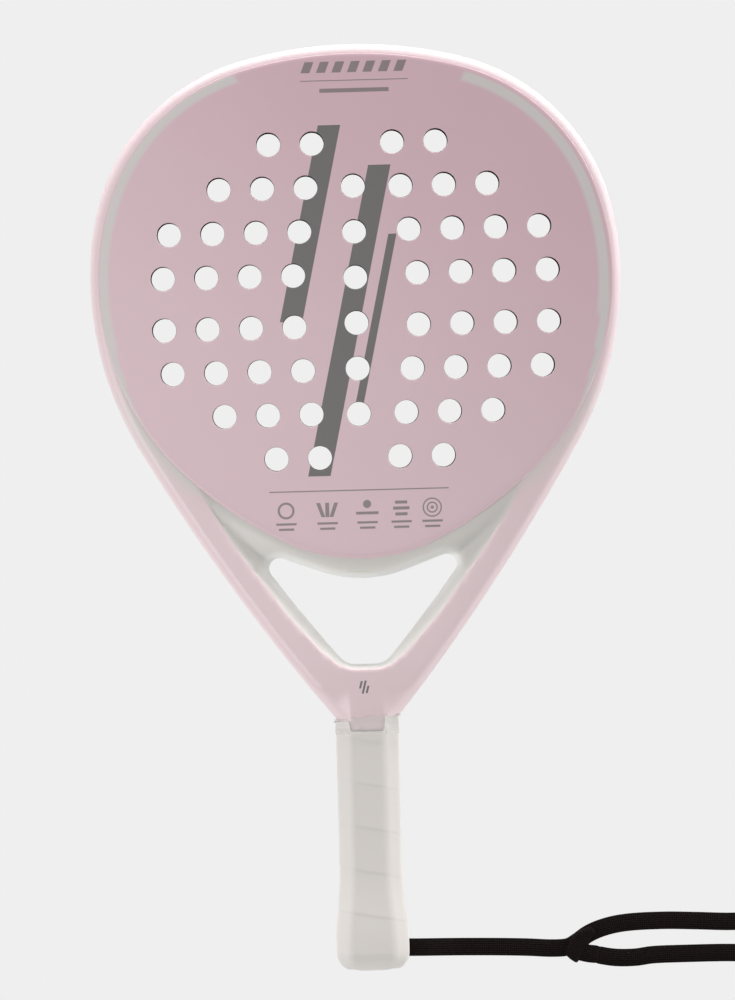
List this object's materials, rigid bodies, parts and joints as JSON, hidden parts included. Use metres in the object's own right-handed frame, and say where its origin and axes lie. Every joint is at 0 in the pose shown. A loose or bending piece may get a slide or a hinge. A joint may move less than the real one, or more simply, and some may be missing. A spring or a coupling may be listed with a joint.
{
  "type": "padel racket",
  "caption": "Perforated padel racket with a tubular frame, foam core, open throat, wrapped octagonal handle and a flat wrist cord.",
  "frame": {"origin": "under the middle of the racket's length and width, on the surface that its rear face lies on", "axes": "+Y along the handle to the head's tip, +Z out of the front face, +X to the right when the front face is looked at with the head up"},
  "size_m": [0.3863, 0.4662, 0.038],
  "materials": {
    "frame": "pale pink satin lacquer over a carbon laminate",
    "bridge": "pale grey satin lacquer over a carbon laminate",
    "face": "dusty pink satin lacquer over a glass fibre laminate",
    "core": "black closed-cell foam",
    "bladder": "clear nylon film",
    "filler_foam": "rigid cream foam",
    "pallet": "moulded structural foam",
    "adhesive": "double-sided tape",
    "grip_cushion": "cushioned synthetic leather",
    "grip": "smooth white tacky synthetic",
    "tape": "clear film",
    "cap": "moulded white plastic",
    "staple": "plain steel wire",
    "cord": "flat tubular braid, black"
  },
  "bodies": {
    "root": {"frame_tube": "frame", "frame_bladder": "bladder", "throat_bridge": "bridge", "bridge_foam": "filler_foam", "neck_wedge": "frame", "core_foam": "core", "front_face": "face", "rear_face": "face", "handle_core": "filler_foam", "front_pallet": "pallet", "rear_pallet": "pallet", "grip_adhesive": "adhesive", "base_grip": "grip_cushion", "overgrip": "grip", "finishing_tape": "tape", "butt_cap": "cap", "cap_staples": "staple", "grip_staple": "staple", "wrist_cord": "cord", "cord_hitch": "cord", "cord_stopper": "cord"}
  },
  "joints": []
}
